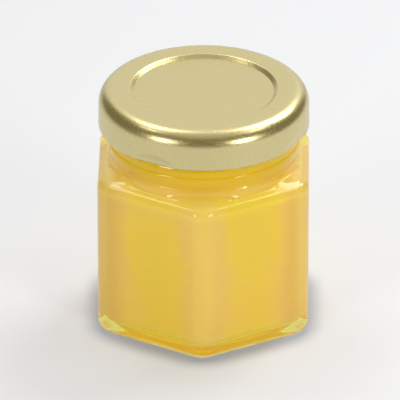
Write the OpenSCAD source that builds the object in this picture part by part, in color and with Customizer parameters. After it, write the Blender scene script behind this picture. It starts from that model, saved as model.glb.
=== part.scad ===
// Small six-sided honey jar with a twist-off metal lid, filled with creamed honey.
// Millimetres. +Z is up, and the origin is the centre of the footprint, on the surface the jar
// stands on. Two flat sides face +X and -X, and one upright corner faces -Y.

/* [Glass body] */
// Width across two opposite flat sides
across_flats = 46; // [44:0.5:90]
// Height of the glass, from the surface it stands on to its rim
glass_h = 53.75; // [42:0.25:140]
// Radius of the six upright corners
corner_r = 3.9; // [3.4:0.1:8]
// Radius where the sides turn under to the base
heel_r = 3; // [1:0.1:3.2]
// Radius where the sides turn in to the shoulder
shoulder_r = 2; // [1.5:0.1:3.2]
// Rise of the shoulder from the corners to the neck, in degrees
shoulder_slope = 16; // [15:1:45]
// Depth of the shallow hollow under the base
push_up = 0.6; // [0.2:0.1:1.2]
// Least width of the flat ring round that hollow
foot_w = 3; // [2:0.1:5]

/* [Glass wall] */
// Thickness of the flat sides
wall = 2.8; // [2:0.1:4]
// Thickness of the base
base_t = 2.6; // [2:0.1:6]
// Radius of the upright corners inside
inner_corner_r = 3.5; // [2.4:0.1:8]
// Radius between the sides and the base inside
inner_heel_r = 2; // [1.5:0.1:4]
// Radius of both turns of the shoulder inside
inner_shoulder_r = 3; // [2:0.1:3.5]
// How much lower the inside starts to turn in than the outside
inner_shoulder_drop = 1.6; // [1.5:0.1:3]

/* [Neck] */
// Height of the neck, from the foot of its fillet to the rim
neck_h = 15.05; // [12.6:0.05:24]
// How far the plain neck lies inside the lid's outline
neck_inset = 2.3; // [2:0.1:4]
// Radius of the fillet between the shoulder and the neck
neck_fillet_r = 0.8; // [0.8:0.1:1.8]
// How far the bead that shows below the lid lies inside the lid's outline
bead_inset = 1.8; // [1.6:0.1:1.9]
// How far the bead shows below the lid
bead_drop = 3.5; // [2:0.1:4]
// Radius of the bead's bowed flank
bead_flank_r = 5; // [3:0.5:8]
// How far the glass inside the lid lies inside the lid's outline
finish_inset = 2.9; // [2.8:0.1:3.4]
// Thickness of the glass at the mouth
mouth_wall = 2.6; // [2.2:0.1:3.4]
// How far the mould seam stands out round the foot of the neck
seam_t = 0.25; // [0.1:0.05:0.3]
// Height of the mould seam
seam_h = 0.8; // [0.2:0.05:0.8]

/* [Lid] */
// Diameter of the lid over its rolled edge
lid_d = 46; // [34:0.5:46.5]
// Height of the lid
lid_h = 8.65; // [7.5:0.05:10]
// Thickness of the lid's metal
lid_t = 0.4; // [0.3:0.05:0.5]
// Radius between the skirt and the top
lid_edge_r = 3.5; // [2:0.1:3.6]
// How far the rolled edge stands out past the skirt
curl_proud = 0.15; // [0.05:0.05:0.3]
// Diameter of the rolled edge's own section
curl_d = 1.2; // [1:0.1:1.5]
// How far the sunk panel's wall lies inside the lid's outline
panel_inset = 6.7; // [6.5:0.05:10]
// Depth of the sunk panel
panel_depth = 0.7; // [0.3:0.05:1]
// Width of the sunk panel's sloping wall
panel_slope_w = 1.2; // [0.5:0.1:2]
// Number of flats pressed into the rolled edge, where the lugs are
lug_count = 4; // [3:1:6]
// Width of each flat
lug_w = 10.4; // [6:0.1:11]
// Height of each flat
lug_h = 0.9; // [0.5:0.1:1]
// Direction of the first flat, in degrees from +X
lug_turn = 62; // [0:1:119]

/* [Honey] */
// Free height between the honey and the underside of the lid's panel
headspace = 3.7; // [1:0.1:3.9]

/* [Hidden] */
$fn = 96;

// heights
lid_top = glass_h + lid_t;
lid_foot = lid_top - lid_h;
honey_top = lid_top - lid_t - panel_depth - headspace;
neck_foot = glass_h - neck_h;
bead_foot = lid_foot - bead_drop;

// radii
apothem = across_flats / 2;
lid_r = lid_d / 2;
curl_r = curl_d / 2;
skirt_r = lid_r - curl_proud;
panel_r = lid_r - panel_inset;
neck_r = lid_r - neck_inset;
bead_r = lid_r - bead_inset;
finish_r = lid_r - finish_inset;
mouth_r = finish_r - mouth_wall;

// small roundings and overlaps
rim_edge_r = 1;
mouth_edge_r = 0.8;
bead_edge_r = 0.35;
overlap = 0.1;
// The inside of the shoulder aims this far inside the mouth, so that the two cross cleanly
mouth_tuck = 0.4;
// Most of a turn's width that its two arcs may take up, which leaves a straight between them
arc_share = 0.98;

// steps of the loft
corner_steps = 2;
side_steps = 7;
heel_steps = 4;
turn_steps = 4;

// Distance from the axis to a six-sided outline with round corners, in direction az.
// The corners are at 30, 90, 150... degrees.
function hex_reach(az, half_w, round_r) =
    let (
        from_corner = abs(az % 60 - 30),
        centre = (half_w - round_r) / cos(30),
        arc_end = atan2(round_r * sin(30), centre + round_r * cos(30))
    )
    from_corner < arc_end
        ? centre * cos(from_corner) + sqrt(pow(round_r, 2) - pow(centre * sin(from_corner), 2))
        : half_w / cos(30 - from_corner);

// Directions of the loft's columns: a few round each corner and a few along each side
function hex_directions(half_w, round_r) =
    let (
        centre = (half_w - round_r) / cos(30),
        turned = [
            for (step = [-corner_steps : corner_steps])
                let (tilt = 30 * step / corner_steps)
                atan2(round_r * sin(tilt), centre + round_r * cos(tilt))
        ],
        arc_end = turned[2 * corner_steps]
    )
    [
        for (corner = [30 : 60 : 330])
            each concat(
                [for (turn = turned) corner + turn],
                [
                    for (step = [1 : side_steps - 1])
                        corner + arc_end + (60 - 2 * arc_end) * step / side_steps
                ]
            )
    ];

// Steepest tilt of the surface between two arcs that share a run of this width
function turn_tilt(run, arcs) =
    min(90 - shoulder_slope, acos(max(1 - arc_share * run / arcs, 0)));

// Height gained over such a run
function turn_rise(run, arcs) =
    let (
        tilt = turn_tilt(run, arcs),
        straight = (run - arcs * (1 - cos(tilt))) / sin(tilt)
    )
    arcs * sin(tilt) + straight * cos(tilt);

// Section of the body in one direction, as [radius, height]: heel, upright side, shoulder and
// the start of the neck
function body_section(reach, foot_z, foot_r, side_top, out_r, in_r, end_r, end_z) =
    let (
        run = reach - end_r,
        tilt = turn_tilt(run, out_r + in_r),
        turn_top = side_top + turn_rise(run, out_r + in_r)
    )
    concat(
        [
            for (step = [heel_steps : -1 : 0])
                let (lean = 90 * step / heel_steps)
                [reach - foot_r * (1 - cos(lean)), foot_z + foot_r * (1 - sin(lean))]
        ],
        [
            for (step = [0 : turn_steps])
                let (lean = tilt * step / turn_steps)
                [reach - out_r * (1 - cos(lean)), side_top + out_r * sin(lean)]
        ],
        [
            for (step = [turn_steps : -1 : 0])
                let (lean = tilt * step / turn_steps)
                [end_r + in_r * (1 - cos(lean)), turn_top - in_r * sin(lean)]
        ],
        [[end_r, end_z]]
    );

// Solid through the given sections, one for each direction, all with as many points
module loft(directions, sections) {
    columns = len(directions);
    rows = len(sections[0]);
    points = [
        for (row = [0 : rows - 1])
            for (column = [0 : columns - 1])
                let (place = sections[column][row])
                [
                    place[0] * cos(directions[column]),
                    place[0] * sin(directions[column]),
                    place[1]
                ]
    ];
    sides = [
        for (row = [0 : rows - 2])
            for (column = [0 : columns - 1])
                let (
                    low = row * columns + column,
                    low_next = row * columns + (column + 1) % columns
                )
                each [
                    [low, low + columns, low_next + columns],
                    [low, low_next + columns, low_next]
                ]
    ];
    bottom = [for (column = [0 : columns - 1]) column];
    top = [for (column = [columns - 1 : -1 : 0]) (rows - 1) * columns + column];
    polyhedron(points, concat([bottom], sides, [top]));
}

// height at which the sides start to turn in to the shoulder
corner_reach = hex_reach(30, apothem, corner_r);
side_top = neck_foot - turn_rise(corner_reach - neck_r, shoulder_r + neck_fillet_r);

// Body and shoulder as one closed form, up to just inside the mould seam
module outer_body() {
    directions = hex_directions(apothem, corner_r);
    loft(
        directions,
        [
            for (az = directions)
                body_section(
                    reach = hex_reach(az, apothem, corner_r),
                    foot_z = 0,
                    foot_r = heel_r,
                    side_top = side_top,
                    out_r = shoulder_r,
                    in_r = neck_fillet_r,
                    end_r = neck_r,
                    end_z = neck_foot + seam_h / 2
                )
        ]
    );
}

// Round stretch of the glass from the mould seam to the rim: neck, bead and the part that the
// lid covers
module neck() {
    bead_middle = bead_foot + bead_edge_r;
    flank_end = bead_middle + sqrt(pow(bead_flank_r, 2) - pow(bead_flank_r - bead_r + finish_r, 2));
    rotate_extrude() {
        // core, which also reaches down into the body
        translate([0, neck_foot - neck_fillet_r])
            square([neck_r - neck_fillet_r, glass_h - neck_foot + neck_fillet_r]);
        translate([0, neck_foot])
            square([neck_r, bead_middle - neck_foot]);
        translate([0, neck_foot])
            square([neck_r + seam_t, seam_h]);
        // bead, with a small round under it and a long bowed flank
        translate([bead_r - bead_edge_r, bead_middle])
            circle(bead_edge_r);
        translate([0, bead_foot])
            square([bead_r - bead_edge_r, bead_edge_r]);
        intersection() {
            translate([bead_r - bead_flank_r, bead_middle])
                circle(bead_flank_r);
            translate([0, bead_middle])
                square([bead_r, flank_end - bead_middle]);
        }
        // straight wall inside the lid, rounded at the rim
        translate([0, bead_middle])
            square([finish_r, glass_h - rim_edge_r - bead_middle]);
        translate([0, bead_middle])
            square([finish_r - rim_edge_r, glass_h - bead_middle]);
        translate([finish_r - rim_edge_r, glass_h - rim_edge_r])
            circle(rim_edge_r);
    }
}

// Space inside the glass, up to the given height. The honey takes the same shape.
module cavity(top_z) {
    half_w = apothem - wall;
    directions = hex_directions(half_w, inner_corner_r);
    aim_r = mouth_r - mouth_tuck;
    inner_top = side_top - inner_shoulder_drop;
    corner_run = hex_reach(30, half_w, inner_corner_r) - aim_r;
    loft_top = inner_top + turn_rise(corner_run, 2 * inner_shoulder_r) + overlap;
    loft(
        directions,
        [
            for (az = directions)
                body_section(
                    reach = hex_reach(az, half_w, inner_corner_r),
                    foot_z = base_t,
                    foot_r = inner_heel_r,
                    side_top = inner_top,
                    out_r = inner_shoulder_r,
                    in_r = inner_shoulder_r,
                    end_r = aim_r,
                    end_z = loft_top
                )
        ]
    );
    translate([0, 0, inner_top])
        cylinder(r = mouth_r, h = top_z - inner_top);
}

// Cutter that rounds the inner edge of the rim
module mouth_rounding() {
    rotate_extrude()
        difference() {
            translate([mouth_r - overlap, glass_h - mouth_edge_r])
                square([mouth_edge_r + overlap, mouth_edge_r + overlap]);
            translate([mouth_r + mouth_edge_r, glass_h - mouth_edge_r])
                circle(mouth_edge_r);
        }
}

// Cutter for the shallow hollow under the base
module base_hollow() {
    hollow_r = apothem - heel_r - foot_w;
    translate([0, 0, -overlap])
        cylinder(r1 = hollow_r + overlap, r2 = hollow_r - push_up, h = push_up + overlap);
}

// Thick-walled glass: six-sided body, gently rising shoulder, round neck and mouth
module glass_jar() {
    color([0.85, 0.93, 0.9, 0.35])
        difference() {
            union() {
                outer_body();
                neck();
            }
            cavity(glass_h + 1);
            mouth_rounding();
            base_hollow();
        }
}

// Creamed honey that fills the glass to just under the lid
module honey() {
    color([0.87, 0.7, 0.2])
        cavity(honey_top);
}

// Outside of the lid, without its sunk panel
module lid_outline() {
    translate([0, lid_foot + curl_r])
        square([skirt_r, lid_h - curl_r - lid_edge_r]);
    translate([0, lid_foot + curl_r])
        square([skirt_r - lid_edge_r, lid_h - curl_r]);
    translate([skirt_r - lid_edge_r, lid_top - lid_edge_r])
        circle(lid_edge_r);
}

// Inside of the lid, with the underside of the sunk panel
module lid_hollow() {
    inner_edge_r = lid_edge_r - lid_t;
    difference() {
        union() {
            translate([0, lid_foot])
                square([skirt_r - lid_t, lid_h - lid_edge_r]);
            translate([0, lid_foot])
                square([skirt_r - lid_edge_r, lid_h - lid_t]);
            translate([skirt_r - lid_edge_r, lid_top - lid_edge_r])
                circle(inner_edge_r);
        }
        polygon([
            [0, lid_top],
            [panel_r + lid_t, lid_top],
            [panel_r + lid_t, lid_top - lid_t],
            [panel_r + lid_t - panel_slope_w, lid_top - lid_t - panel_depth],
            [0, lid_top - lid_t - panel_depth]
        ]);
    }
}

// Twist-off lid: skirt, round edge, sunk panel and a rolled lower edge with flats where its
// lugs are pressed in
module lid() {
    lug_step = 360 / lug_count;
    // the flat's face lies as deep in the rolled edge as its width needs
    lug_reach = sqrt(pow(lid_r, 2) - pow(lug_w / 2, 2));
    color([0.8, 0.75, 0.56])
        difference() {
            rotate_extrude() {
                difference() {
                    lid_outline();
                    lid_hollow();
                    polygon([
                        [0, lid_top + overlap],
                        [panel_r + overlap, lid_top + overlap],
                        [panel_r, lid_top],
                        [panel_r - panel_slope_w, lid_top - panel_depth],
                        [0, lid_top - panel_depth]
                    ]);
                }
                translate([lid_r - curl_r, lid_foot + curl_r])
                    circle(curl_r);
            }
            for (lug = [0 : lug_count - 1])
                rotate([0, 0, lug_turn + lug * lug_step])
                    translate([lug_reach, -lug_w, lid_foot - overlap])
                        cube([curl_d, 2 * lug_w, lug_h + overlap]);
        }
}

glass_jar();
honey();
lid();
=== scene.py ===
"""A small six-sided jar of creamed honey, closed by a gold-lacquered twist-off lid.

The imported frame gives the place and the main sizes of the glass, the honey and the lid. Each of
the three is modelled here as a smooth piece that stands for its CAD node: rings are extruded,
resized and rounded one above the other, as a jar maker's profile gauge would have them. All
lengths are in metres, +Z is up, and the jar stands on z = 0 with one upright corner towards -Y.
"""

import logging
import math
from dataclasses import dataclass, replace
from enum import Enum

import bmesh
import bpy
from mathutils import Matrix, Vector

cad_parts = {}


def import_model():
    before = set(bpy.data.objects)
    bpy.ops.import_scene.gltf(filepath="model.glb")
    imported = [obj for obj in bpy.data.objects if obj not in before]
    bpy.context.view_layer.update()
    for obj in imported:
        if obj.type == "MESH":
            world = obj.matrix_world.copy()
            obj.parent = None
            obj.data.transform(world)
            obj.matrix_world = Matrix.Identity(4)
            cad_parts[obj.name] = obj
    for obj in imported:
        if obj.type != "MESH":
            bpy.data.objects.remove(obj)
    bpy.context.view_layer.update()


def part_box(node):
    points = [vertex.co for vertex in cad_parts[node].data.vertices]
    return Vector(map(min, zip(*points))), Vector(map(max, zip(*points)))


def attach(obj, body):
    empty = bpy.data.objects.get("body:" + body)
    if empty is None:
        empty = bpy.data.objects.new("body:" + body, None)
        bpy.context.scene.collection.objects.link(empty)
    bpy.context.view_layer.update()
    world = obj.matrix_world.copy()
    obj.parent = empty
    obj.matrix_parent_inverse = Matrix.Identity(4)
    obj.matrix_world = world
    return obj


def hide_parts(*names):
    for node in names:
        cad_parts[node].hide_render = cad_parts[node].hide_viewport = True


log = logging.getLogger("honey_jar")

MM = 0.001
BODY = "root"

Colour = tuple[float, float, float, float]
BLACK: Colour = (0.0, 0.0, 0.0, 1.0)
WHITE: Colour = (1.0, 1.0, 1.0, 1.0)

SHARP_ANGLE = 40.0  # edges that bend by more than this many degrees stay sharp
LEAST_EASING = 1e-6  # a ring that changes its shape by less keeps it
SAME_Z = 1e-7  # heights this close belong to one ring
SAME_R = 1e-6  # and radii this close


class Slot(Enum):
    """The record's material slots."""

    GLASS = "clear_glass"
    HONEY = "creamed_honey"
    LID = "gold_lacquered_tinplate"


# ---------------------------------------------------------------------------------------------
# profiles


@dataclass(frozen=True)
class Row:
    """One ring of a piece: its height, and its reach to the corners and to the sides."""

    z: float
    corner: float
    side: float


def round_row(radius: float, z: float) -> Row:
    """A ring that is a plain circle."""
    return Row(z, radius, radius)


def ease(share: float) -> float:
    """A share from 0 to 1 that starts and ends gently."""
    return share * share * (3 - 2 * share)


def arc(
    centre: tuple[float, float], radius: float, start: float, end: float, steps: int
) -> list[Row]:
    """Circular rings along an arc of a section.

    Args:
        centre: radius and height of the arc's centre.
        radius: radius of the arc.
        start: first direction in degrees, 0 outwards and 90 up.
        end: last direction in degrees.
        steps: number of stretches between rings.

    Returns:
        The rings from start to end, both ends among them.
    """
    rows = []
    for step in range(steps + 1):
        turn = math.radians(start + (end - start) * step / steps)
        out, up = radius * math.cos(turn), radius * math.sin(turn)
        rows.append(round_row(centre[0] + out, centre[1] + up))
    return rows


@dataclass(frozen=True)
class SixSided:
    """A hexagon with round corners.

    half_w is the distance from the axis to a side, and corner_r the radius of its corners.
    """

    half_w: float
    corner_r: float

    @property
    def corner_reach(self) -> float:
        """Distance from the axis to the middle of a round corner."""
        return (self.half_w - self.corner_r) / math.cos(math.radians(30)) + self.corner_r

    @property
    def sharp_reach(self) -> float:
        """Distance from the axis to a corner before it is rounded."""
        return self.half_w / math.cos(math.radians(30))

    @property
    def corner_setback(self) -> float:
        """Length of side that each end of a round corner takes up."""
        return self.corner_r * math.tan(math.radians(30))

    def grown(self, by: float) -> "SixSided":
        """The same outline, larger by a distance all round."""
        return SixSided(self.half_w + by, self.corner_r + by)


@dataclass(frozen=True)
class Shoulder:
    """The stretch over which six upright sides turn in to a round neck.

    side_top is the height at which the sides start to turn, out_r the radius of that turn, in_r
    the radius of the fillet at the neck, neck_r the neck's radius and slope the rise of the
    straight stretch between the two, in degrees. The two arcs together take up at most arc_share
    of the way in.
    """

    side_top: float
    out_r: float
    in_r: float
    neck_r: float
    slope: float
    arc_share: float = 0.98

    def tilt(self, reach: float) -> float:
        """How far the surface leans in from upright.

        Args:
            reach: distance from the axis to the upright side below.

        Returns:
            The lean of the straight stretch, in radians.
        """
        run = reach - self.neck_r
        fitting = math.acos(max(1 - self.arc_share * run / (self.out_r + self.in_r), 0))
        return min(math.radians(90 - self.slope), fitting)

    def top(self, reach: float) -> float:
        """Height at which the surface has become the neck.

        Args:
            reach: distance from the axis to the upright side below.

        Returns:
            The height of the upper end of the fillet.
        """
        tilt, arcs = self.tilt(reach), self.out_r + self.in_r
        straight = (reach - self.neck_r - arcs * (1 - math.cos(tilt))) / math.sin(tilt)
        return self.side_top + arcs * math.sin(tilt) + straight * math.cos(tilt)

    def radius_at(self, z: float, reach: float) -> float:
        """Distance from the axis at a height.

        Args:
            z: the height.
            reach: distance from the axis to the upright side below, in the same direction.

        Returns:
            The surface's distance from the axis.
        """
        tilt, top = self.tilt(reach), self.top(reach)
        out_end = self.side_top + self.out_r * math.sin(tilt)
        in_start = top - self.in_r * math.sin(tilt)
        if z <= self.side_top:
            return reach
        if z >= top:
            return self.neck_r
        if z <= out_end:
            turn = math.asin((z - self.side_top) / self.out_r)
            return reach - self.out_r * (1 - math.cos(turn))
        if z >= in_start:
            turn = math.asin((top - z) / self.in_r)
            return self.neck_r + self.in_r * (1 - math.cos(turn))
        lean = 1 - math.cos(tilt)
        low, high = reach - self.out_r * lean, self.neck_r + self.in_r * lean
        return low + (high - low) * (z - out_end) / (in_start - out_end)

    def rows(self, outline: SixSided, steps: int) -> list[Row]:
        """Rings from the top of the sides to the foot of the neck.

        Args:
            outline: the six-sided body below.
            steps: number of stretches between rings.

        Returns:
            The rings, from the six-sided one to the round one.
        """
        low, high = self.side_top, self.top(outline.corner_reach)
        heights = [low + (high - low) * step / steps for step in range(steps + 1)]
        return [
            Row(z, self.radius_at(z, outline.corner_reach), self.radius_at(z, outline.half_w))
            for z in heights
        ]


def heel_rows(outline: SixSided, foot_z: float, heel_r: float, steps: int) -> list[Row]:
    """Rings from the flat under a six-sided body, round its heel, to its upright sides.

    Args:
        outline: the body's outline above the heel.
        foot_z: height of the flat under the body.
        heel_r: radius of the heel.
        steps: number of stretches between rings.

    Returns:
        The rings, from the lowest up.
    """
    rows = []
    for step in range(steps + 1):
        lean = math.radians(90 * (1 - step / steps))
        share = 1 - heel_r * (1 - math.cos(lean)) / outline.half_w
        z = foot_z + heel_r * (1 - math.sin(lean))
        rows.append(Row(z, outline.corner_reach * share, outline.half_w * share))
    return rows


# ---------------------------------------------------------------------------------------------
# modelling


def is_cap(face: bmesh.types.BMFace) -> bool:
    """Whether a face is a filled ring: every other face has four corners."""
    return len(face.verts) > 4


class RingStack:
    """A closed piece made of rings: each is extruded from the last, resized and made rounder."""

    def __init__(self, name: str) -> None:
        """Starts a stack that has no ring so far.

        Args:
            name: the name of the piece.
        """
        self.name = name
        self.piece: bpy.types.Object | None = None
        self.z = 0.0
        self.corner_share = 0.0  # how much of the first outline's shape the last ring still has
        self.round_part = 0.0  # the rest of the last ring's radius, the same in all directions
        self.first = Row(0.0, 1.0, 1.0)
        self.mean = 1.0

    def _open(self, sides: int, radius: float, z: float) -> None:
        """Adds a filled ring and goes into edit mode with it selected.

        Args:
            sides: number of corners.
            radius: distance from the axis to a corner.
            z: height of the ring.
        """
        if bpy.context.object and bpy.context.object.mode != "OBJECT":
            bpy.ops.object.mode_set(mode="OBJECT")
        bpy.ops.object.select_all(action="DESELECT")
        bpy.ops.mesh.primitive_circle_add(
            vertices=sides, radius=radius, fill_type="NGON", location=(0, 0, z)
        )
        self.piece = bpy.context.object
        self.piece.name = self.name
        self.piece.data.name = self.name
        bpy.ops.object.transform_apply(location=True, rotation=True, scale=True)
        bpy.ops.object.mode_set(mode="EDIT")
        bpy.ops.mesh.select_mode(type="FACE")
        bpy.ops.mesh.select_all(action="SELECT")
        self.z = z

    def start_round(self, radius: float, z: float, sides: int) -> None:
        """Starts on a filled circle.

        Args:
            radius: the circle's radius.
            z: its height.
            sides: number of columns.
        """
        self._open(sides, radius, z)
        self.corner_share, self.round_part = 0.0, radius
        self.first, self.mean = round_row(radius, z), radius

    def start_six_sided(
        self, outline: SixSided, row: Row, corner_steps: int, side_steps: int
    ) -> None:
        """Starts on a filled hexagon with round corners.

        Args:
            outline: the hexagon at its full size.
            row: the first ring, which may be smaller.
            corner_steps: stretches round each corner.
            side_steps: stretches along each side.
        """
        self._open(6, outline.sharp_reach, row.z)
        bpy.ops.mesh.bevel(
            offset=outline.corner_setback,
            offset_type="OFFSET",
            segments=corner_steps,
            profile=0.5,
            affect="VERTICES",
        )
        bpy.ops.mesh.select_mode(type="EDGE")
        bpy.ops.mesh.select_all(action="DESELECT")
        mesh = bmesh.from_edit_mesh(self.piece.data)
        for edge in mesh.edges:
            edge.select = edge.calc_length() > outline.half_w / 2
        bmesh.update_edit_mesh(self.piece.data)
        bpy.ops.mesh.subdivide(number_cuts=side_steps - 1)
        bpy.ops.mesh.select_mode(type="FACE")
        bpy.ops.mesh.select_all(action="SELECT")
        mesh = bmesh.from_edit_mesh(self.piece.data)
        reaches = [vert.co.xy.length for vert in mesh.verts]
        self.first = Row(row.z, max(reaches), min(reaches))
        self.mean = sum(reaches) / len(reaches)
        self.corner_share, self.round_part = 1.0, 0.0
        self._shape(row)

    def _split(self, row: Row) -> tuple[float, float]:
        """Splits a ring into its share of the first outline's shape and a round rest.

        Args:
            row: the ring.

        Returns:
            The share of the first outline, and the radius that is the same in all directions.
        """
        share, spread = 0.0, self.first.corner - self.first.side
        if spread:
            share = min((row.corner - row.side) / spread, row.side / self.first.side)
        return share, row.side - share * self.first.side

    def _shape(self, row: Row) -> None:
        """Gives the selected ring its reach to the corners and to the sides.

        Args:
            row: the ring, which already lies at its height.
        """
        old_share, old_round = self.corner_share, self.round_part
        share, rounded = self._split(row)
        growth = (rounded + share * self.mean) / (old_round + old_share * self.mean)
        middle = (0, 0, row.z)
        bpy.ops.transform.resize(value=(growth, growth, 1), center_override=middle)
        easing = 1 - share / (growth * old_share) if old_share else 0.0
        if easing > LEAST_EASING:
            bpy.ops.transform.tosphere(value=min(easing, 1.0), center_override=middle)
        self.corner_share, self.round_part, self.z = share, rounded, row.z

    def add(self, rows: list[Row]) -> None:
        """Extrudes the selected cap from ring to ring.

        Args:
            rows: the rings, in their order from the cap onwards.
        """
        for row in rows:
            bpy.ops.mesh.extrude_region_move(
                TRANSFORM_OT_translate={"value": (0, 0, row.z - self.z)}
            )
            self._shape(row)

    def turn_to_start(self, row: Row) -> None:
        """Selects the first cap, the one that faces down, to go on from there.

        Args:
            row: the ring round that cap, as it was given at the start.
        """
        mesh = bmesh.from_edit_mesh(self.piece.data)
        bpy.ops.mesh.select_all(action="DESELECT")
        for face in mesh.faces:
            low = all(abs(vert.co.z - row.z) < SAME_Z for vert in face.verts)
            face.select = low and is_cap(face)
        bmesh.update_edit_mesh(self.piece.data)
        self.corner_share, self.round_part = self._split(row)
        self.z = row.z

    def close(self, sharp_angle: float = SHARP_ANGLE) -> bpy.types.Object:
        """Leaves edit mode, turns all faces outwards and smooths them.

        Args:
            sharp_angle: edges that bend by more than this many degrees stay sharp.

        Returns:
            The finished piece.
        """
        bpy.ops.mesh.select_all(action="SELECT")
        bpy.ops.mesh.normals_make_consistent(inside=False)
        bpy.ops.object.mode_set(mode="OBJECT")
        bpy.ops.object.shade_smooth_by_angle(angle=math.radians(sharp_angle))
        return self.piece


def bridge_mouths(outside: bpy.types.Object, inside: bpy.types.Object) -> bpy.types.Object:
    """Joins the outside and the inside of a vessel at the mouth.

    Args:
        outside: closed piece whose top cap lies in the mouth.
        inside: closed piece whose top cap lies a little lower in the same mouth.

    Returns:
        The outside, which now holds both as one wall.
    """
    middle_z = max(vert.co.z for vert in inside.data.vertices) / 2
    bpy.ops.object.select_all(action="DESELECT")
    inside.select_set(True)
    outside.select_set(True)
    bpy.context.view_layer.objects.active = outside
    bpy.ops.object.join()
    bpy.ops.object.mode_set(mode="EDIT")
    bpy.ops.mesh.select_mode(type="FACE")
    bpy.ops.mesh.select_all(action="DESELECT")
    mesh = bmesh.from_edit_mesh(outside.data)
    for face in mesh.faces:
        face.select = is_cap(face) and face.calc_center_median().z > middle_z
    bmesh.update_edit_mesh(outside.data)
    bpy.ops.mesh.delete(type="ONLY_FACE")
    bpy.ops.mesh.select_mode(type="EDGE")
    bpy.ops.mesh.select_all(action="DESELECT")
    bpy.ops.mesh.select_non_manifold()
    bpy.ops.mesh.bridge_edge_loops()
    bpy.ops.mesh.select_all(action="SELECT")
    bpy.ops.mesh.normals_make_consistent(inside=False)
    bpy.ops.object.mode_set(mode="OBJECT")
    bpy.ops.object.shade_smooth_by_angle(angle=math.radians(SHARP_ANGLE))
    return outside


# ---------------------------------------------------------------------------------------------
# shader building


class Recipe:
    """A node tree under construction, for a material or for a group."""

    def __init__(self, tree: bpy.types.NodeTree) -> None:
        """Works on this tree."""
        self.tree = tree

    def node(self, kind: str, **settings: object) -> bpy.types.Node:
        """Adds a node.

        Args:
            kind: Blender's name of the node's type.
            **settings: plain settings of the node.

        Returns:
            The new node.
        """
        made = self.tree.nodes.new(kind)
        for name, value in settings.items():
            setattr(made, name, value)
        return made

    def feed(self, socket: bpy.types.NodeSocket, value: object) -> None:
        """Feeds an input.

        Args:
            socket: the input.
            value: an output to link it to, or a plain value to set it to.
        """
        if isinstance(value, bpy.types.NodeSocket):
            self.tree.links.new(value, socket)
        else:
            socket.default_value = value

    def math(self, operation: str, *values: object, clamp: bool = False) -> bpy.types.NodeSocket:
        """Adds a Math node.

        Args:
            operation: what it works out.
            *values: its inputs, as outputs or plain values.
            clamp: whether the result is held between 0 and 1.

        Returns:
            The output with the result.
        """
        made = self.node("ShaderNodeMath", operation=operation, use_clamp=clamp)
        for place, value in enumerate(values):
            self.feed(made.inputs[place], value)
        return made.outputs[0]

    def vector(self, operation: str, *values: object) -> bpy.types.NodeSocket:
        """Adds a Vector Math node.

        Args:
            operation: what it works out.
            *values: its inputs, as outputs or plain values.

        Returns:
            The output with the vector.
        """
        made = self.node("ShaderNodeVectorMath", operation=operation)
        for place, value in enumerate(values):
            self.feed(made.inputs[place], value)
        return made.outputs[0]

    def spread(
        self, value: object, low: float, high: float, to_low: float = 0.0, to_high: float = 1.0
    ) -> bpy.types.NodeSocket:
        """Maps a stretch of values smoothly onto another and holds its ends.

        Args:
            value: the value to map.
            low: the start of its stretch.
            high: the end of its stretch.
            to_low: the result at the start.
            to_high: the result at the end.

        Returns:
            The output with the result.
        """
        made = self.node("ShaderNodeMapRange", interpolation_type="SMOOTHSTEP")
        for place, item in enumerate((value, low, high, to_low, to_high)):
            self.feed(made.inputs[place], item)
        return made.outputs[0]

    def noise(
        self, vector: object, scale: float, detail: float = 2.0, rough: float = 0.5
    ) -> bpy.types.NodeSocket:
        """Adds a Noise Texture.

        Args:
            vector: the place at which it is read.
            scale: how many waves fit in a metre, roughly.
            detail: number of finer layers.
            rough: how strong each finer layer is beside the last.

        Returns:
            The output with the value.
        """
        made = self.node("ShaderNodeTexNoise")
        self.feed(made.inputs["Vector"], vector)
        made.inputs["Scale"].default_value = scale
        made.inputs["Detail"].default_value = detail
        made.inputs["Roughness"].default_value = rough
        return made.outputs[0]

    def blend(self, share: object, first: object, second: object) -> bpy.types.NodeSocket:
        """Mixes two colours.

        Args:
            share: share of the second colour.
            first: the colour at a share of 0.
            second: the colour at a share of 1.

        Returns:
            The output with the colour.
        """
        made = self.node("ShaderNodeMix", data_type="RGBA")
        self.feed(made.inputs["Factor"], share)
        self.feed(made.inputs[6], first)
        self.feed(made.inputs[7], second)
        return made.outputs[2]

    def parts(self, vector: object) -> tuple[bpy.types.NodeSocket, ...]:
        """Splits a vector.

        Args:
            vector: the vector.

        Returns:
            The outputs with its X, Y and Z.
        """
        made = self.node("ShaderNodeSeparateXYZ")
        self.feed(made.inputs[0], vector)
        return tuple(made.outputs)

    def bump(self, height: object, strength: float, distance: float) -> bpy.types.NodeSocket:
        """Adds a Bump node.

        Args:
            height: the height that it reads.
            strength: share of the bump that shows.
            distance: how high a height of 1 is.

        Returns:
            The output with the normal.
        """
        made = self.node("ShaderNodeBump")
        made.inputs["Strength"].default_value = strength
        made.inputs["Distance"].default_value = distance
        self.feed(made.inputs["Height"], height)
        return made.outputs[0]


def new_material(slot: Slot) -> tuple[bpy.types.Material, Recipe, bpy.types.Node, bpy.types.Node]:
    """Starts a material.

    Args:
        slot: the record's slot, which also names the material.

    Returns:
        The material, its recipe, its Principled node and its output node.
    """
    material = bpy.data.materials.new(slot.value)
    material.use_nodes = True
    tree = material.node_tree
    tree.nodes.clear()
    recipe = Recipe(tree)
    shader = recipe.node("ShaderNodeBsdfPrincipled")
    output = recipe.node("ShaderNodeOutputMaterial")
    tree.links.new(shader.outputs[0], output.inputs["Surface"])
    return material, recipe, shader, output


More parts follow.
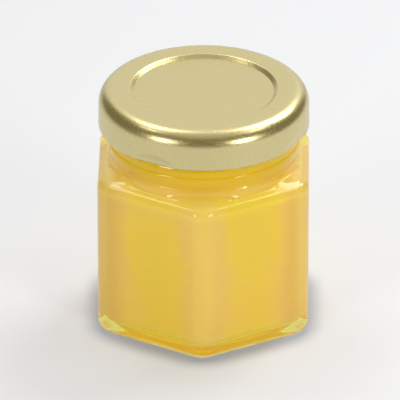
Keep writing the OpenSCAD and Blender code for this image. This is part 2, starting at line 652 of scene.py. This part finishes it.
@dataclass(frozen=True)
class ClearGlass:
    """Moulded container glass: clear, with faint waves from the mould."""

    tint: Colour = (0.99, 0.99, 0.98, 1.0)
    ior: float = 1.5
    wave_scale: float = 55.0
    wave_height: float = 0.00002

    def build(self) -> bpy.types.Material:
        """Makes the material.

        Returns:
            The glass, which light for the honey crosses unbent.
        """
        material, recipe, shader, output = new_material(Slot.GLASS)
        place = recipe.node("ShaderNodeTexCoord").outputs["Object"]
        waves = recipe.bump(recipe.noise(place, self.wave_scale), 1.0, self.wave_height)
        recipe.feed(shader.inputs["Normal"], waves)
        shader.inputs["Base Color"].default_value = self.tint
        shader.inputs["Roughness"].default_value = 0.0
        shader.inputs["IOR"].default_value = self.ior
        shader.inputs["Transmission Weight"].default_value = 1.0
        # light reaches the honey straight through the glass
        rays = recipe.node("ShaderNodeLightPath")
        pane = recipe.node("ShaderNodeBsdfTransparent")
        surface = shader.outputs[0]
        for ray in ("Is Diffuse Ray", "Is Shadow Ray"):
            mix = recipe.node("ShaderNodeMixShader")
            recipe.feed(mix.inputs[0], rays.outputs[ray])
            recipe.feed(mix.inputs[1], surface)
            recipe.feed(mix.inputs[2], pane.outputs[0])
            surface = mix.outputs[0]
        recipe.feed(output.inputs["Surface"], surface)
        return material


@dataclass(frozen=True)
class CreamedHoney:
    """Opaque pale honey, set to a fine paste.

    Each fade is the stretch over which one colour turns into the next: from the flats' middle
    to the corners, towards the sides that face +X and -X, up the shoulder and up the neck. All
    of them paint light: the paler corners are a painted sheen for the light that the thick glass
    corners gather, the darker sides are painted shade, the shoulder has a painted glow, and the
    deeper neck is painted shade under the lid.
    """

    # painted shade up the neck, under the lid
    painted_neck_shade: Colour = (0.9, 0.58, 0.005, 1.0)
    middle: Colour = (0.95, 0.665, 0.05, 1.0)
    # painted sheen, towards the corners
    pale: Colour = (0.89, 0.62, 0.13, 1.0)
    # painted shade on the sides that face +X and -X
    beside: Colour = (0.76, 0.475, 0.09, 1.0)
    # painted glow at the shoulder
    painted_shoulder_glow: Colour = (0.11, 0.09, 0.035, 1.0)
    painted_sheen_fade: tuple[float, float] = (20.3 * MM, 22.3 * MM)
    painted_side_shade_fade: tuple[float, float] = (15.5 * MM, 21 * MM)
    painted_glow_fade: tuple[float, float] = (33 * MM, 36 * MM)
    painted_neck_shade_fade: tuple[float, float] = (37.2 * MM, 39.2 * MM)
    cloud_scale: float = 55.0
    cloud_detail: float = 3.0
    cloud_fade: tuple[float, float] = (0.35, 0.7)
    cloud_depth: float = 0.35
    scatter_scale: float = 8 * MM

    def build(self) -> bpy.types.Material:
        """Makes the material.

        Returns:
            The honey.
        """
        material, recipe, shader, _ = new_material(Slot.HONEY)
        place = recipe.node("ShaderNodeTexCoord").outputs["Object"]
        across, _, up = recipe.parts(place)
        level = recipe.node("ShaderNodeVectorMath", operation="LENGTH")
        recipe.feed(level.inputs[0], recipe.vector("MULTIPLY", place, (1.0, 1.0, 0.0)))
        # painted sheen: paler towards the corners, mixed with clouds of random tone
        corner = recipe.spread(level.outputs["Value"], *self.painted_sheen_fade)
        clouds = recipe.noise(place, self.cloud_scale, self.cloud_detail)
        cloud = recipe.spread(clouds, *self.cloud_fade, -self.cloud_depth, self.cloud_depth)
        painted_sheen_and_clouds = recipe.math("ADD", corner, cloud, clamp=True)
        body = recipe.blend(painted_sheen_and_clouds, self.middle, self.pale)
        # painted shade: darker towards the sides that face +X and -X
        beside = recipe.spread(recipe.math("ABSOLUTE", across), *self.painted_side_shade_fade)
        body = recipe.blend(beside, body, self.beside)
        shoulder = recipe.spread(up, *self.painted_glow_fade)
        # painted shade: deeper colour up the neck, under the lid
        neck = recipe.spread(up, *self.painted_neck_shade_fade)
        recipe.feed(shader.inputs["Base Color"], recipe.blend(neck, body, self.painted_neck_shade))
        # painted glow: emission lightens the honey's shoulder, which the lid keeps from the lamps
        painted_glow_share = recipe.math("MULTIPLY", shoulder, recipe.math("SUBTRACT", 1.0, neck))
        painted_glow = recipe.blend(painted_glow_share, BLACK, self.painted_shoulder_glow)
        recipe.feed(shader.inputs["Emission Color"], painted_glow)
        shader.inputs["Emission Strength"].default_value = 1.0
        shader.inputs["Roughness"].default_value = 0.6
        shader.inputs["Specular IOR Level"].default_value = 0.0
        shader.inputs["Subsurface Weight"].default_value = 1.0
        shader.inputs["Subsurface Radius"].default_value = (1.0, 0.8, 0.3)
        shader.inputs["Subsurface Scale"].default_value = self.scatter_scale
        return material


@dataclass(frozen=True)
class GoldLacquer:
    """Satin gold lacquer over tinplate, with the sheet's fine straight grain."""

    base: Colour = (0.65, 0.565, 0.285, 1.0)
    roughness: tuple[float, float] = (0.24, 0.36)
    grain_stretch: tuple[float, float, float] = (0.06, 1.0, 0.4)
    grain_scale: float = 6000.0
    grain_detail: float = 3.0
    grain_rough: float = 0.6
    grain_fade: tuple[float, float] = (0.2, 0.8)
    grain_strength: float = 0.4
    grain_height: float = 0.01 * MM

    def build(self) -> bpy.types.Material:
        """Makes the material.

        Returns:
            The lacquered sheet.
        """
        material, recipe, shader, _ = new_material(Slot.LID)
        place = recipe.node("ShaderNodeTexCoord").outputs["Object"]
        along = recipe.vector("MULTIPLY", place, self.grain_stretch)
        grain = recipe.noise(along, self.grain_scale, self.grain_detail, self.grain_rough)
        bump = recipe.bump(grain, self.grain_strength, self.grain_height)
        recipe.feed(shader.inputs["Normal"], bump)
        roughness = recipe.spread(grain, *self.grain_fade, *self.roughness)
        recipe.feed(shader.inputs["Roughness"], roughness)
        shader.inputs["Base Color"].default_value = self.base
        shader.inputs["Metallic"].default_value = 1.0
        return material


def dress(piece: bpy.types.Object, material: bpy.types.Material, node: str) -> None:
    """Gives a finished piece its material and its place in the part.

    Args:
        piece: the finished mesh.
        material: its only material.
        node: the CAD node that it stands for.
    """
    piece.data.materials.clear()
    piece.data.materials.append(material)
    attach(piece, BODY)
    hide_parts(node)
    log.info("%s: %d faces, stands for %s", piece.name, len(piece.data.polygons), node)


# ---------------------------------------------------------------------------------------------
# the jar's pieces


@dataclass(frozen=True)
class Fineness:
    """How many stretches the rings and the columns have."""

    corner: int = 10
    side: int = 16
    heel: int = 14
    shoulder: int = 36
    turn: int = 8
    lid_sides: int = 256
    lid_turn: int = 24
    skirt: int = 12
    panel: int = 16


@dataclass(frozen=True)
class BodySizes:
    """Sizes of the body that the frame's boxes don't give.

    neck_h is measured from the foot of the neck to the rim, neck_in and mouth_in from the lid's
    side inwards, and inner_drop from the top of the outer sides down to the top of the inner
    ones. The slopes are in degrees.
    """

    corner_r: float = 3.9 * MM
    turn_r: float = 2 * MM
    slope: float = 16.0
    fillet_r: float = 0.6 * MM
    neck_h: float = 15.05 * MM
    neck_in: float = 2.05 * MM
    inner_corner_r: float = 3.5 * MM
    inner_heel_r: float = 2 * MM
    inner_drop: float = 1.6 * MM
    inner_turn_r: float = 3 * MM
    inner_slope: float = 19.0
    mouth_in: float = 5.5 * MM


@dataclass(frozen=True)
class Vessel:
    """Sizes that the glass and the honey share."""

    outline: SixSided
    inner_outline: SixSided
    shoulder: Shoulder
    inner_shoulder: Shoulder
    floor_z: float
    inner_heel_r: float

    @classmethod
    def from_frame(cls, sizes: BodySizes) -> "Vessel":
        """Reads the outlines from the frame.

        Args:
            sizes: what its boxes don't give.

        Returns:
            The vessel, with the foot of its neck at the height that its neck asks for.
        """
        glass_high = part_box("glass_jar")[1]
        honey_low, honey_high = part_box("honey")
        lid_low, lid_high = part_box("lid")
        lid_r = (lid_high.x - lid_low.x) / 2
        outline = SixSided(glass_high.x, sizes.corner_r)
        inner_outline = SixSided(honey_high.x, sizes.inner_corner_r)
        neck_r = lid_r - sizes.neck_in
        on_floor = Shoulder(0.0, sizes.turn_r, sizes.fillet_r, neck_r, sizes.slope)
        side_top = glass_high.z - sizes.neck_h - on_floor.top(outline.corner_reach)
        shoulder = replace(on_floor, side_top=side_top)
        inner = Shoulder(
            side_top - sizes.inner_drop,
            sizes.inner_turn_r,
            sizes.inner_turn_r,
            lid_r - sizes.mouth_in,
            sizes.inner_slope,
        )
        return cls(outline, inner_outline, shoulder, inner, honey_low.z, sizes.inner_heel_r)

    @property
    def mouth_r(self) -> float:
        """Radius of the mouth."""
        return self.inner_shoulder.neck_r

    def fill(self, name: str, grown: float, top_z: float, fine: Fineness) -> RingStack:
        """Builds the space inside the glass, as a solid that is still in edit mode.

        Args:
            name: the piece's name.
            grown: how much larger than the space it is, all round.
            top_z: height of its top.
            fine: numbers of stretches.

        Returns:
            The open stack, with its top cap selected.
        """
        outline = self.inner_outline.grown(grown)
        shoulder = replace(self.inner_shoulder, neck_r=self.mouth_r + grown)
        heel = heel_rows(outline, self.floor_z - grown, self.inner_heel_r, fine.heel)
        stack = RingStack(name)
        stack.start_six_sided(outline, heel[0], fine.corner, fine.side)
        stack.add(heel[1:])
        stack.add(shoulder.rows(outline, fine.shoulder))
        stack.add([round_row(shoulder.neck_r, top_z)])
        return stack


@dataclass
class GlassJar:
    """The glass: six-sided body, shoulder, neck with its seam and bead, and open mouth."""

    vessel: Vessel
    fine: Fineness
    heel_r: float = 3 * MM
    hollow_depth: float = 0.6 * MM
    hollow_r: float = 17 * MM
    hollow_wall_w: float = 1.8 * MM
    seam_foot: float = 39.25 * MM
    seam_r: float = 0.9 * MM
    neck_r: float = 20.7 * MM
    bead_r: float = 21.2 * MM
    bead_foot: float = 42.0 * MM
    bead_edge_r: float = 0.3 * MM
    bead_ledge_r: float = 0.9 * MM
    bead_step: float = 0.28 * MM
    flank_foot: float = 43.7 * MM
    flank_r: float = 2 * MM
    finish_r: float = 20.1 * MM
    rim_edge_r: float = 1 * MM
    mouth_edge_r: float = 0.8 * MM

    def seam_rows(self) -> list[Row]:
        """Rings over the small rounded step of the mould seam at the foot of the neck.

        Returns:
            The rings, from the collar in to the neck.
        """
        collar_r = self.vessel.shoulder.neck_r
        centre = (collar_r - self.seam_r, self.seam_foot)
        end = math.degrees(math.acos(1 - (collar_r - self.neck_r) / self.seam_r))
        return arc(centre, self.seam_r, 0, end, self.fine.turn)

    def bead_rows(self) -> list[Row]:
        """Rings round the bead below the lid, up to the straight wall inside the lid.

        Returns:
            The rings, from the neck below the bead up.
        """
        middle, turn = self.bead_foot + self.bead_edge_r, self.fine.turn
        edge_centre = (self.bead_r - self.bead_edge_r, middle)
        edge = arc(edge_centre, self.bead_edge_r, -90, 0, turn)
        ledge_centre = (self.bead_r - self.bead_ledge_r, middle)
        ledge_end = math.degrees(math.acos(1 - self.bead_step / self.bead_ledge_r))
        ledge = arc(ledge_centre, self.bead_ledge_r, 0, ledge_end, turn)
        top_r = self.bead_r - self.bead_step
        flank_centre = (top_r - self.flank_r, self.flank_foot)
        lean = math.degrees(math.acos(1 - (top_r - self.finish_r) / self.flank_r))
        flank = arc(flank_centre, self.flank_r, 0, lean, self.fine.heel)
        return [round_row(self.neck_r, self.bead_foot)] + edge + ledge[1:] + flank

    def rim_rows(self, top_z: float) -> list[Row]:
        """Rings over the rim and down into the mouth.

        Args:
            top_z: height of the rim.

        Returns:
            The rings, from the outside in.
        """
        mouth_r = self.vessel.mouth_r
        outer = (self.finish_r - self.rim_edge_r, top_z - self.rim_edge_r)
        inner = (mouth_r + self.mouth_edge_r, top_z - self.mouth_edge_r)
        return arc(outer, self.rim_edge_r, 0, 90, self.fine.turn) + arc(
            inner, self.mouth_edge_r, 90, 180, self.fine.turn
        )

    def hollow_rows(self) -> list[Row]:
        """Rings of the shallow hollow under the base.

        Returns:
            The rings, from its edge inwards.
        """
        rows = []
        for step in range(self.fine.turn + 1):
            share = step / self.fine.turn
            radius = self.hollow_r - self.hollow_wall_w * share
            rows.append(round_row(radius, self.hollow_depth * ease(share)))
        return rows

    def build(self) -> bpy.types.Object:
        """Models the glass as one wall, open at the mouth.

        Returns:
            The glass.
        """
        vessel = self.vessel
        top_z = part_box("glass_jar")[1].z
        heel = heel_rows(vessel.outline, 0.0, self.heel_r, self.fine.heel)
        stack = RingStack("glass_wall")
        stack.start_six_sided(vessel.outline, heel[0], self.fine.corner, self.fine.side)
        stack.add(heel[1:])
        stack.add(vessel.shoulder.rows(vessel.outline, self.fine.shoulder))
        stack.add(self.seam_rows() + self.bead_rows() + self.rim_rows(top_z))
        stack.turn_to_start(heel[0])
        stack.add(self.hollow_rows())
        outside = stack.close()
        inside_top = top_z - 2 * self.mouth_edge_r
        inside = vessel.fill("glass_inside", 0.0, inside_top, self.fine).close()
        return bridge_mouths(outside, inside)


@dataclass
class Honey:
    """The honey, which fills the glass and reaches just into its wall."""

    vessel: Vessel
    fine: Fineness
    reach_in: float = 0.06 * MM

    def build(self) -> bpy.types.Object:
        """Models the honey up to its level.

        Returns:
            The honey.
        """
        top_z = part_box("honey")[1].z
        stack = self.vessel.fill("honey_fill", self.reach_in, top_z, self.fine)
        return stack.close()


@dataclass
class TwistOffLid:
    """The lid: a skirt with a rolled foot, a round edge and a sunk panel.

    lip is the share of the panel's wall over which it turns down from the lid's top, and lug_turn
    the direction of one lug flat, in degrees.
    """

    fine: Fineness
    metal_t: float = 0.4 * MM
    edge_r: float = 3.5 * MM
    skirt_lean: float = 0.07 * MM
    curl_r: float = 0.6 * MM
    panel_inset: float = 6.7 * MM
    panel_depth: float = 0.7 * MM
    panel_slope_w: float = 1.1 * MM
    lip: float = 0.15
    lug_count: int = 4
    lug_w: float = 10.4 * MM
    lug_fade_h: float = 2.6 * MM
    lug_turn: float = 62.0
    sharp_angle: float = 18.0

    def rows(self) -> list[Row]:
        """Rings from the underside of the panel, round the foot, to the top of the panel.

        Returns:
            The rings in that order.
        """
        low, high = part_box("lid")
        lid_r, foot, top = high.x, low.z, high.z
        skirt_r = lid_r - self.skirt_lean
        inner_r = skirt_r - self.metal_t
        panel_r = lid_r - self.panel_inset
        floor_r = panel_r - self.panel_slope_w
        under = top - self.metal_t
        corner = (skirt_r - self.edge_r, top - self.edge_r)
        curl = (lid_r - self.curl_r, foot + self.curl_r)
        meets_in = math.degrees(math.acos((inner_r - curl[0]) / self.curl_r))
        rows = [
            round_row(floor_r + self.metal_t, under - self.panel_depth),
            round_row(panel_r + self.metal_t, under),
        ]
        rows += arc(corner, self.edge_r - self.metal_t, 90, 0, self.fine.turn)
        rows += arc(curl, self.curl_r, meets_in, 360, self.fine.lid_turn)
        for step in range(1, self.fine.skirt):
            share = step / self.fine.skirt
            z = curl[1] + (corner[1] - curl[1]) * share
            rows.append(round_row(lid_r - self.skirt_lean * share, z))
        rows += arc(corner, self.edge_r, 0, 90, self.fine.lid_turn)
        rows += self.panel_rows(panel_r, floor_r, top)
        return rows

    def panel_rows(self, panel_r: float, floor_r: float, top: float) -> list[Row]:
        """Rings down the sunk panel's wall, which ends in a crisp edge at the floor.

        Args:
            panel_r: radius of the wall's upper end.
            floor_r: radius of its lower end.
            top: height of the lid's top.

        Returns:
            The rings, from the lid's top inwards.
        """
        rows = []
        for step in range(self.fine.panel + 1):
            share = step / self.fine.panel
            fall = share**2 / (4 * self.lip) if share < 2 * self.lip else share - self.lip
            z = top - self.panel_depth * fall / (1 - self.lip)
            rows.append(round_row(panel_r - (panel_r - floor_r) * share, z))
        return rows

    def press_lug_flats(self, stack: RingStack, rows: list[Row], foot: float) -> None:
        """Presses the lower edge flat where the lugs are, fading out up the skirt.

        Args:
            stack: the open stack.
            rows: all its rings.
            foot: height of the lid's lower edge.
        """
        fade_top = foot + self.curl_r + self.lug_fade_h
        pressed = [row for row in rows if row.z <= fade_top and row.side >= self.lug_w]
        step_turn = 2 * math.pi / self.lug_count
        for _ in range(self.lug_count):
            for row in pressed:
                fade = min((fade_top - row.z) / self.lug_fade_h, 1.0)
                chord = math.sqrt(row.side**2 - (self.lug_w / 2) ** 2)
                plane = row.side - (row.side - chord) * ease(fade)
                mesh = bmesh.from_edit_mesh(stack.piece.data)
                bpy.ops.mesh.select_all(action="DESELECT")
                for vert in mesh.verts:
                    level = abs(vert.co.z - row.z) < SAME_Z
                    on_row = level and abs(vert.co.xy.length - row.side) < SAME_R
                    vert.select = on_row and vert.co.x > plane
                mesh.select_flush(True)
                bmesh.update_edit_mesh(stack.piece.data)
                bpy.ops.transform.resize(value=(0, 1, 1), center_override=(plane, 0, row.z))
            bpy.ops.mesh.select_all(action="SELECT")
            bpy.ops.transform.rotate(value=step_turn, orient_axis="Z", center_override=(0, 0, 0))
        bpy.ops.transform.rotate(
            value=-math.radians(self.lug_turn), orient_axis="Z", center_override=(0, 0, 0)
        )

    def build(self) -> bpy.types.Object:
        """Models the lid as one closed shell of metal.

        Returns:
            The lid.
        """
        rows = self.rows()
        stack = RingStack("twist_off_lid")
        stack.start_round(rows[0].side, rows[0].z, self.fine.lid_sides)
        stack.add(rows[1:])
        bpy.ops.mesh.select_mode(type="VERT")
        self.press_lug_flats(stack, rows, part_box("lid")[0].z)
        return stack.close(self.sharp_angle)


# ---------------------------------------------------------------------------------------------
# studio


def direction(azimuth: float, elevation: float) -> Vector:
    """A way out from the jar.

    Args:
        azimuth: degrees round the jar from -Y towards +X.
        elevation: degrees from the floor up.

    Returns:
        The way, one metre long.
    """
    turn, lift = math.radians(azimuth), math.radians(elevation)
    level = math.cos(lift)
    return Vector((math.sin(turn) * level, -math.cos(turn) * level, math.sin(lift)))


@dataclass(frozen=True)
class Softbox:
    """A square or oblong lamp that faces the jar."""

    name: str
    azimuth: float
    elevation: float
    distance: float
    width: float
    height: float
    radiance: float

    def build(self, aim: Vector) -> None:
        """Hangs the lamp and turns it to the jar.

        Args:
            aim: the place that it faces.
        """
        towards = direction(self.azimuth, self.elevation)
        lamp = bpy.data.lights.new(self.name, "AREA")
        lamp.shape = "RECTANGLE"
        lamp.size = self.width
        lamp.size_y = self.height
        lamp.energy = self.radiance * math.pi * self.width * self.height
        holder = bpy.data.objects.new(self.name, lamp)
        holder.location = aim + towards * self.distance
        holder.rotation_euler = towards.to_track_quat("Z", "Y").to_euler()
        bpy.context.scene.collection.objects.link(holder)


@dataclass(frozen=True)
class Studio:
    """Floor, surroundings, lamps and camera.

    Azimuths and elevations are those of direction(). A softbox has its name, azimuth, elevation,
    distance, width, height and radiance, in this order. Under the glass the floor is painted
    light:
    tinted like honey and glowing, more at the rim, in place of the light that the glass base and
    the honey throw there. The painted rim and under fades are shares of under_glass, the reach of
    the floor that lies under the glass.
    """

    camera_azimuth: float = 0.9
    camera_pitch: float = 28.2
    camera_distance: float = 1.65
    lens: float = 678.0
    sensor_w: float = 36.0
    camera_end: float = 20.0
    bounces: int = 16
    aim_x: float = -0.85 * MM
    aim_z: float = 26.4 * MM
    floor_side: float = 6.0
    table: Colour = (0.65, 0.665, 0.7, 1.0)
    table_glow: Colour = (0.21, 0.212, 0.23, 1.0)
    painted_under_tint: Colour = (0.6, 0.5, 0.14, 1.0)
    painted_base_glow: Colour = (0.4, 0.45, 0.11, 1.0)
    painted_rim_glow: Colour = (0.42, 0.26, 0.06, 1.0)
    under_glass: float = 21 * MM
    painted_contact_shade: Colour = (0.55, 0.57, 0.62, 1.0)
    painted_contact_w: float = 6 * MM
    painted_rim_fade: tuple[float, float] = (0.84, 0.9)
    painted_under_fade: tuple[float, float] = (0.96, 1.0)
    painted_contact_fade: tuple[float, float] = (0.4, 0.95)
    sweep: Colour = (0.92, 0.92, 0.92, 1.0)
    ceiling: Colour = (0.65, 0.62, 0.55, 1.0)
    dark: Colour = (0.23, 0.205, 0.12, 1.0)
    ceiling_fade: tuple[float, float] = (0.75, 0.99)
    sweep_edge: tuple[float, float] = (0.46, 0.6)
    sweep_front: tuple[float, float] = (0.1, 0.3)
    softboxes: tuple[Softbox, ...] = (
        Softbox("lamp_front_left", -43, 20, 0.6, 0.17, 0.18, 8.0),
        Softbox("lamp_front_right", 44, 20, 0.6, 0.17, 0.14, 13.5),
        Softbox("lamp_over_left", -140, 63, 0.6, 0.2, 0.16, 3.9),
        Softbox("lamp_over_right", 136, 51, 0.6, 0.24, 0.3, 5.5),
        Softbox("strip_left", -88, 57, 0.6, 0.12, 0.1, 3.7),
        Softbox("strip_right", 88, 57, 0.6, 0.12, 0.1, 4.6),
    )

    def floor(self) -> None:
        """Lays the pale floor, with painted light under the glass and painted shade round the
        jar's foot.
        """
        bpy.ops.object.select_all(action="DESELECT")
        bpy.ops.mesh.primitive_plane_add(size=self.floor_side)
        floor = bpy.context.object
        floor.name = "floor"
        material = bpy.data.materials.new("floor_white")
        material.use_nodes = True
        recipe = Recipe(material.node_tree)
        shader = material.node_tree.nodes["Principled BSDF"]
        shader.inputs["Roughness"].default_value = 0.9
        shader.inputs["Specular IOR Level"].default_value = 0.0
        shader.inputs["Emission Strength"].default_value = 1.0
        across, along, _ = recipe.parts(recipe.node("ShaderNodeTexCoord").outputs["Object"])
        # how far out a place is, measured across the hexagon's sides
        reach = recipe.math("ABSOLUTE", across)
        for turn in (math.radians(60), math.radians(-60)):
            out = recipe.math("MULTIPLY", across, math.cos(turn))
            aside = recipe.math("MULTIPLY", along, math.sin(turn))
            way = recipe.math("ABSOLUTE", recipe.math("ADD", out, aside))
            reach = recipe.math("MAXIMUM", reach, way)
        share = recipe.math("DIVIDE", reach, self.under_glass)
        # painted light: under the glass the floor is tinted like honey and glows, more at the rim
        rim = recipe.spread(share, *self.painted_rim_fade)
        under = recipe.spread(share, *self.painted_under_fade, 1.0, 0.0)
        painted_glow = recipe.blend(rim, self.painted_base_glow, self.painted_rim_glow)
        # painted shade: the floor's colour darkens where an ambient-occlusion reading finds the
        # jar close, the narrow shade where the jar meets the floor
        near = recipe.node("ShaderNodeAmbientOcclusion", samples=16)
        near.inputs["Distance"].default_value = self.painted_contact_w
        open_share = recipe.spread(near.outputs["AO"], *self.painted_contact_fade)
        shade = recipe.blend(open_share, self.painted_contact_shade, WHITE)
        table = recipe.vector("MULTIPLY", shade, self.table[:3])
        table_glow = recipe.vector("MULTIPLY", shade, self.table_glow[:3])
        recipe.feed(shader.inputs["Emission Color"], recipe.blend(under, table_glow, painted_glow))
        recipe.feed(shader.inputs["Base Color"], recipe.blend(under, table, self.painted_under_tint))
        floor.data.materials.append(material)

    def surroundings(self) -> None:
        """Makes a dim room with a white sweep behind the jar. The camera sees only white."""
        world = bpy.data.worlds.new("studio")
        bpy.context.scene.world = world
        world.use_nodes = True
        tree = world.node_tree
        tree.nodes.clear()
        recipe = Recipe(tree)
        way = recipe.node("ShaderNodeTexCoord").outputs["Generated"]
        across, along, up = recipe.parts(way)
        room = recipe.blend(recipe.spread(up, *self.ceiling_fade), self.dark, self.ceiling)
        beside = recipe.spread(recipe.math("ABSOLUTE", across), *self.sweep_edge, 1.0, 0.0)
        behind = recipe.math("MULTIPLY", beside, recipe.spread(along, *self.sweep_front))
        shown = recipe.node("ShaderNodeLightPath").outputs["Is Camera Ray"]
        white = recipe.math("MAXIMUM", behind, shown)
        back = recipe.node("ShaderNodeBackground")
        recipe.feed(back.inputs["Color"], recipe.blend(white, room, self.sweep))
        output = recipe.node("ShaderNodeOutputWorld")
        recipe.feed(output.inputs[0], back.outputs[0])

    def camera(self) -> None:
        """Sets the camera up in front of the jar."""
        away = direction(self.camera_azimuth, self.camera_pitch)
        lens = bpy.data.cameras.new("camera")
        lens.lens = self.lens
        lens.sensor_width = self.sensor_w
        lens.clip_end = self.camera_end
        holder = bpy.data.objects.new("camera", lens)
        aim = Vector((self.aim_x, 0, self.aim_z))
        holder.location = aim + away * self.camera_distance
        holder.rotation_euler = away.to_track_quat("Z", "Y").to_euler()
        bpy.context.scene.collection.objects.link(holder)
        bpy.context.scene.camera = holder

    def build(self) -> None:
        """Builds the whole studio."""
        self.floor()
        self.surroundings()
        for softbox in self.softboxes:
            softbox.build(Vector((0, 0, self.aim_z)))
        self.camera()
        scene = bpy.context.scene
        scene.view_settings.view_transform = "Standard"
        scene.cycles.use_denoising = True
        scene.cycles.max_bounces = self.bounces
        scene.cycles.transmission_bounces = self.bounces


def main() -> None:
    """Builds the jar and its studio, and reports each piece."""
    logging.basicConfig(level=logging.INFO, format="%(name)s: %(message)s")
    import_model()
    fine = Fineness()
    vessel = Vessel.from_frame(BodySizes())
    dress(GlassJar(vessel, fine).build(), ClearGlass().build(), "glass_jar")
    dress(Honey(vessel, fine).build(), CreamedHoney().build(), "honey")
    dress(TwistOffLid(fine).build(), GoldLacquer().build(), "lid")
    Studio().build()


if __name__ == "__main__":
    main()
